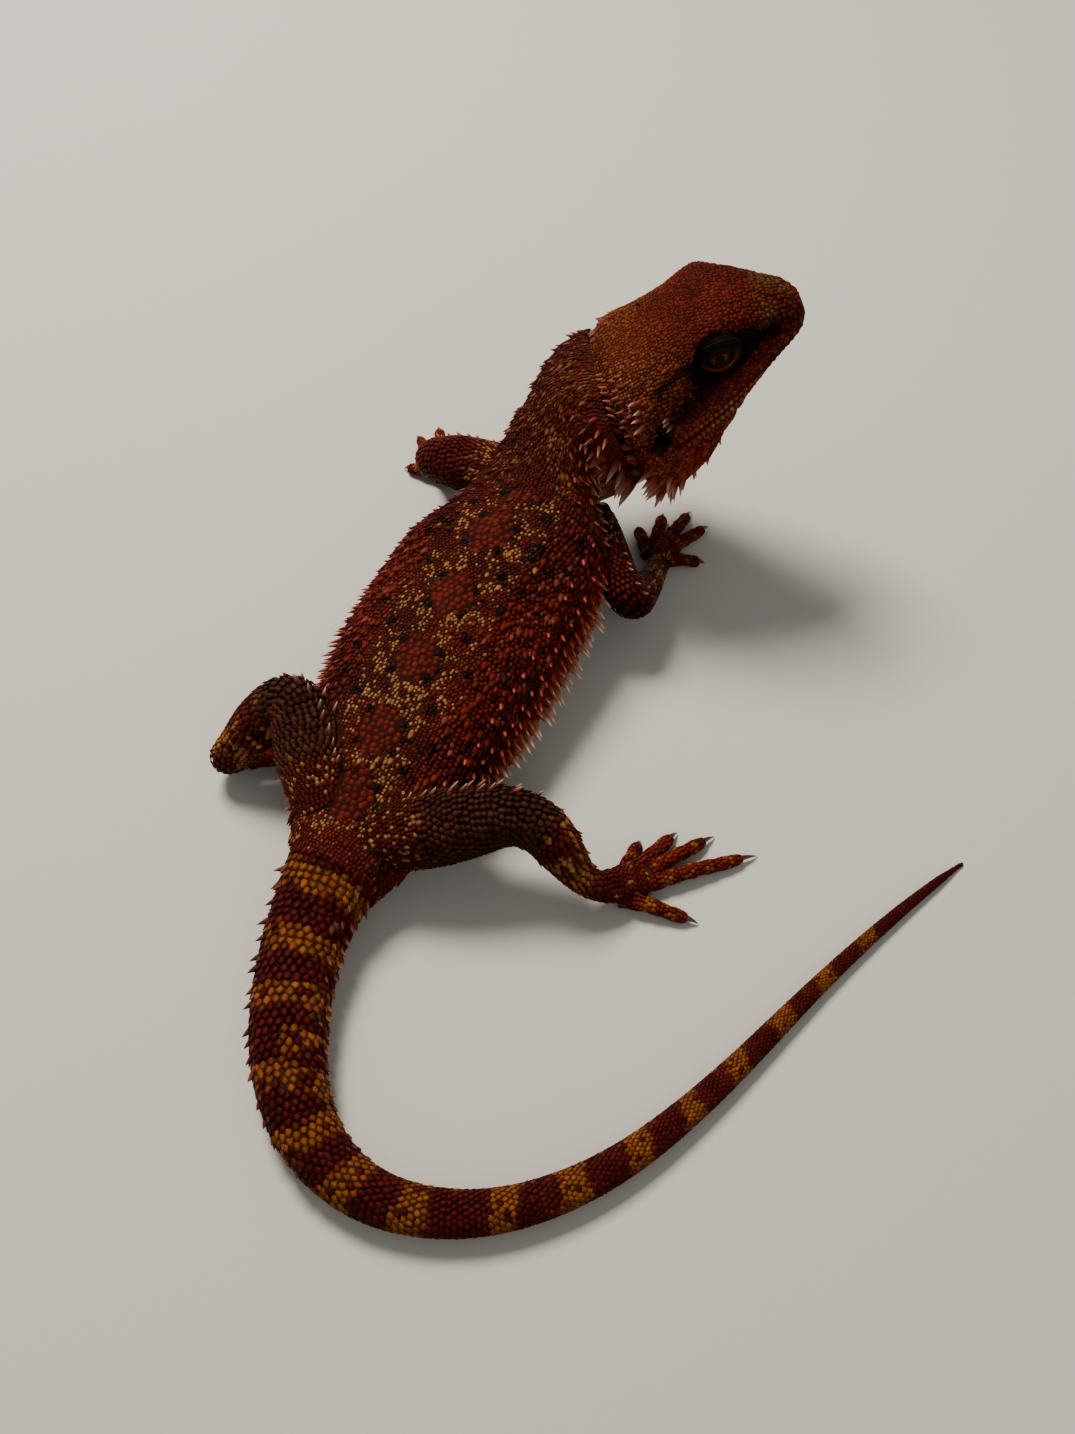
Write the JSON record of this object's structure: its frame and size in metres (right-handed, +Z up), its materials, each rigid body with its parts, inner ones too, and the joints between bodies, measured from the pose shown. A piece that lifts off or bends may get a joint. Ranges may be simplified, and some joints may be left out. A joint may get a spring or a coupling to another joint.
{
  "type": "bearded dragon",
  "caption": "Life-size still model of a young bearded dragon lizard lying on its belly, head raised and turned right, tail curled forward.",
  "frame": {"origin": "on the flat under the belly between the hips, in the plane that the animal rests on", "axes": "+Z up; the trunk points along -Y, the animal's right side is -X and its left side +X"},
  "size_m": [0.1162, 0.1413, 0.0487],
  "materials": {
    "head_skin": "dry scaled skin, rust orange with dark eye and ear bands",
    "body_skin": "dry keeled scales, red-brown with ochre marks",
    "tail_skin": "dry keeled scales, banded red-brown and ochre",
    "limb_skin": "dry keeled scales, red-brown with ochre spots",
    "eye": "wet, glossy, dark brown",
    "ear_drum": "thin dark membrane"
  },
  "bodies": {
    "root": {"head": "head_skin", "jaw": "head_skin", "eye_right": "eye", "eye_left": "eye", "ear_right": "ear_drum", "ear_left": "ear_drum", "neck": "body_skin", "chest": "body_skin", "torso": "body_skin", "pelvis": "body_skin", "tail_1": "tail_skin", "tail_2": "tail_skin", "tail_3": "tail_skin", "tail_4": "tail_skin", "tail_5": "tail_skin", "tail_6": "tail_skin", "tail_7": "tail_skin", "upper_arm_right": "limb_skin", "forearm_right": "limb_skin", "hand_right": "limb_skin", "thigh_right": "limb_skin", "shank_right": "limb_skin", "foot_right": "limb_skin", "upper_arm_left": "limb_skin", "forearm_left": "limb_skin", "hand_left": "limb_skin", "thigh_left": "limb_skin", "shank_left": "limb_skin", "foot_left": "limb_skin"}
  },
  "joints": []
}
